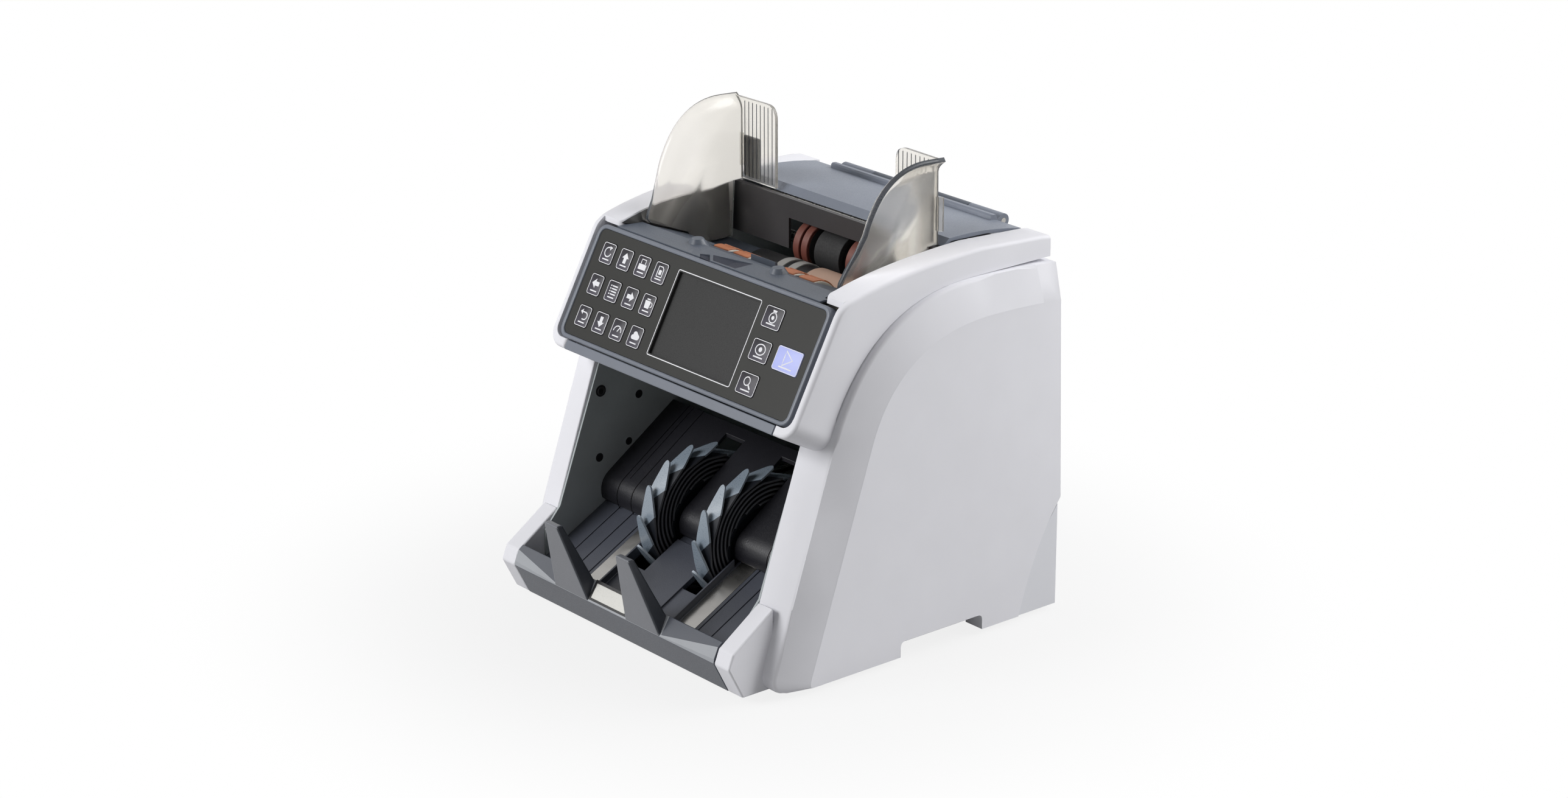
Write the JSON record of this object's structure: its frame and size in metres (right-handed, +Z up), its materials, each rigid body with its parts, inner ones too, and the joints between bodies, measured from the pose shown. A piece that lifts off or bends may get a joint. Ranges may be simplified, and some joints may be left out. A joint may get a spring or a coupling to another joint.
{
  "type": "banknote counter",
  "caption": "Desktop banknote counter with a top hopper and sliding note guides, a sloping control panel and an open front stacker with spiral-bladed wheels.",
  "frame": {"origin": "middle of the part's footprint, at the underside of its rubber feet", "axes": "+X to the right seen from the front, +Y to the rear, +Z up"},
  "size_m": [0.28, 0.2986, 0.3311],
  "materials": {
    "white_plastic": "fine satin",
    "slate_plastic": "fine grain",
    "charcoal_plastic": "fine grain",
    "painted_steel": "satin",
    "bare_steel": "brushed",
    "overlay_plastic": "gloss",
    "key_plastic": "satin",
    "start_key_plastic": "satin",
    "orange_rubber": "matte",
    "pale_roller": "satin",
    "black_rubber": "matte",
    "smoke_plastic": "smoked, clear",
    "circuit_board": "satin"
  },
  "bodies": {
    "case": {"left_side_cover": "white_plastic", "right_side_cover": "white_plastic", "front_base": "white_plastic", "top_frame": "white_plastic", "front_housing": "white_plastic", "rear_cover": "white_plastic", "front_lip": "slate_plastic", "panel_bezel": "slate_plastic", "hopper_ledge": "slate_plastic", "stacker_tray": "charcoal_plastic", "stacker_bed": "charcoal_plastic", "hopper_rear_wall": "charcoal_plastic", "sensor_bars": "charcoal_plastic", "mains_inlet": "charcoal_plastic", "left_side_plate": "painted_steel", "right_side_plate": "painted_steel", "drive_motor": "painted_steel", "base_pan": "bare_steel", "wear_strips": "bare_steel", "shaft_bushes": "bare_steel", "guide_rod": "bare_steel", "guide_bridge": "bare_steel", "hinge_pin": "bare_steel", "power_supply": "bare_steel", "panel_overlay": "overlay_plastic", "display_module": "overlay_plastic", "rubber_feet": "black_rubber", "drive_belts": "black_rubber", "panel_board": "circuit_board", "main_board": "circuit_board"},
    "motor": {"drive_pulley": "bare_steel"},
    "stacker": {"stacker_shaft": "bare_steel", "left_stacker_wheel": "slate_plastic", "right_stacker_wheel": "slate_plastic"},
    "pickup": {"pickup_roller": "orange_rubber"},
    "feed": {"feed_roller": "pale_roller"},
    "retard": {"retard_roller": "black_rubber"},
    "left_guide": {"left_note_guide": "smoke_plastic", "left_guide_rack": "charcoal_plastic"},
    "right_guide": {"right_note_guide": "smoke_plastic", "right_guide_rack": "charcoal_plastic"},
    "pinion": {"guide_pinion": "bare_steel"},
    "lid_body": {"lid": "slate_plastic"},
    "rocker": {"power_switch": "charcoal_plastic"},
    "key_1_body": {"key_1": "key_plastic"},
    "key_2_body": {"key_2": "key_plastic"},
    "key_3_body": {"key_3": "key_plastic"},
    "key_4_body": {"key_4": "key_plastic"},
    "key_5_body": {"key_5": "key_plastic"},
    "key_6_body": {"key_6": "key_plastic"},
    "key_7_body": {"key_7": "key_plastic"},
    "key_8_body": {"key_8": "key_plastic"},
    "key_9_body": {"key_9": "key_plastic"},
    "key_10_body": {"key_10": "key_plastic"},
    "key_11_body": {"key_11": "key_plastic"},
    "key_12_body": {"key_12": "key_plastic"},
    "wide_key_1_body": {"wide_key_1": "key_plastic"},
    "wide_key_2_body": {"wide_key_2": "key_plastic"},
    "wide_key_3_body": {"wide_key_3": "key_plastic"},
    "start_key_body": {"start_key": "start_key_plastic"}
  },
  "joints": [
    {"name": "motor_spin", "type": "hinge", "parent": "case", "child": "motor", "pos_m": [0, 0.06426, 0.046], "axis": [1, 0, 0], "continuous": true},
    {"name": "stacker_spin", "type": "hinge", "parent": "case", "child": "stacker", "pos_m": [0, -0.03075, 0.0615], "axis": [1, 0, 0], "continuous": true},
    {"name": "pickup_spin", "type": "hinge", "parent": "case", "child": "pickup", "pos_m": [0, 0.00276, 0.2274], "axis": [1, 0, 0], "continuous": true},
    {"name": "feed_spin", "type": "hinge", "parent": "case", "child": "feed", "pos_m": [0, 0.04226, 0.215], "axis": [1, 0, 0], "continuous": true},
    {"name": "retard_spin", "type": "hinge", "parent": "case", "child": "retard", "pos_m": [0, 0.07269, 0.23852], "axis": [1, 0, 0], "continuous": true},
    {"name": "left_guide_slide", "type": "slide", "parent": "case", "child": "left_guide", "axis": [1, 0, 0], "range_m": [0, 0.042]},
    {"name": "right_guide_slide", "type": "slide", "parent": "case", "child": "right_guide", "axis": [-1, 0, 0], "range_m": [0, 0.042]},
    {"name": "pinion_turn", "type": "hinge", "parent": "case", "child": "pinion", "pos_m": [0, 0.08525, 0.2663], "axis": [0, 0, 1], "range_deg": [0, 302]},
    {"name": "lid_hinge", "type": "hinge", "parent": "case", "child": "lid_body", "pos_m": [0, 0.14425, 0.2676], "axis": [-1, 0, 0], "range_deg": [0, 75]},
    {"name": "rocker_tilt", "type": "hinge", "parent": "case", "child": "rocker", "pos_m": [0.035, 0.14411, 0.04], "axis": [1, 0, 0], "range_deg": [0, 16]},
    {"name": "key_1_press", "type": "slide", "parent": "case", "child": "key_1_body", "axis": [0, 0.8796, -0.4756], "range_m": [0, 0.0008], "stiffness_N_per_m": 400, "springref_m": -0.0004},
    {"name": "key_2_press", "type": "slide", "parent": "case", "child": "key_2_body", "axis": [0, 0.8796, -0.4756], "range_m": [0, 0.0008], "stiffness_N_per_m": 400, "springref_m": -0.0004},
    {"name": "key_3_press", "type": "slide", "parent": "case", "child": "key_3_body", "axis": [0, 0.8796, -0.4756], "range_m": [0, 0.0008], "stiffness_N_per_m": 400, "springref_m": -0.0004},
    {"name": "key_4_press", "type": "slide", "parent": "case", "child": "key_4_body", "axis": [0, 0.8796, -0.4756], "range_m": [0, 0.0008], "stiffness_N_per_m": 400, "springref_m": -0.0004},
    {"name": "key_5_press", "type": "slide", "parent": "case", "child": "key_5_body", "axis": [0, 0.8796, -0.4756], "range_m": [0, 0.0008], "stiffness_N_per_m": 400, "springref_m": -0.0004},
    {"name": "key_6_press", "type": "slide", "parent": "case", "child": "key_6_body", "axis": [0, 0.8796, -0.4756], "range_m": [0, 0.0008], "stiffness_N_per_m": 400, "springref_m": -0.0004},
    {"name": "key_7_press", "type": "slide", "parent": "case", "child": "key_7_body", "axis": [0, 0.8796, -0.4756], "range_m": [0, 0.0008], "stiffness_N_per_m": 400, "springref_m": -0.0004},
    {"name": "key_8_press", "type": "slide", "parent": "case", "child": "key_8_body", "axis": [0, 0.8796, -0.4756], "range_m": [0, 0.0008], "stiffness_N_per_m": 400, "springref_m": -0.0004},
    {"name": "key_9_press", "type": "slide", "parent": "case", "child": "key_9_body", "axis": [0, 0.8796, -0.4756], "range_m": [0, 0.0008], "stiffness_N_per_m": 400, "springref_m": -0.0004},
    {"name": "key_10_press", "type": "slide", "parent": "case", "child": "key_10_body", "axis": [0, 0.8796, -0.4756], "range_m": [0, 0.0008], "stiffness_N_per_m": 400, "springref_m": -0.0004},
    {"name": "key_11_press", "type": "slide", "parent": "case", "child": "key_11_body", "axis": [0, 0.8796, -0.4756], "range_m": [0, 0.0008], "stiffness_N_per_m": 400, "springref_m": -0.0004},
    {"name": "key_12_press", "type": "slide", "parent": "case", "child": "key_12_body", "axis": [0, 0.8796, -0.4756], "range_m": [0, 0.0008], "stiffness_N_per_m": 400, "springref_m": -0.0004},
    {"name": "wide_key_1_press", "type": "slide", "parent": "case", "child": "wide_key_1_body", "axis": [0, 0.8796, -0.4756], "range_m": [0, 0.0008], "stiffness_N_per_m": 400, "springref_m": -0.0004},
    {"name": "wide_key_2_press", "type": "slide", "parent": "case", "child": "wide_key_2_body", "axis": [0, 0.8796, -0.4756], "range_m": [0, 0.0008], "stiffness_N_per_m": 400, "springref_m": -0.0004},
    {"name": "wide_key_3_press", "type": "slide", "parent": "case", "child": "wide_key_3_body", "axis": [0, 0.8796, -0.4756], "range_m": [0, 0.0008], "stiffness_N_per_m": 400, "springref_m": -0.0004},
    {"name": "start_key_press", "type": "slide", "parent": "case", "child": "start_key_body", "axis": [0, 0.8796, -0.4756], "range_m": [0, 0.0008], "stiffness_N_per_m": 400, "springref_m": -0.0004}
  ],
  "couplings": [
    {"joint": "stacker_spin", "follows": "motor_spin", "ratio": 0.71429},
    {"joint": "pickup_spin", "follows": "motor_spin", "ratio": 0.71429},
    {"joint": "feed_spin", "follows": "motor_spin", "ratio": 0.71429},
    {"joint": "right_guide_slide", "follows": "left_guide_slide", "ratio": 1},
    {"joint": "pinion_turn", "follows": "left_guide_slide", "rad_per_m": 125}
  ]
}
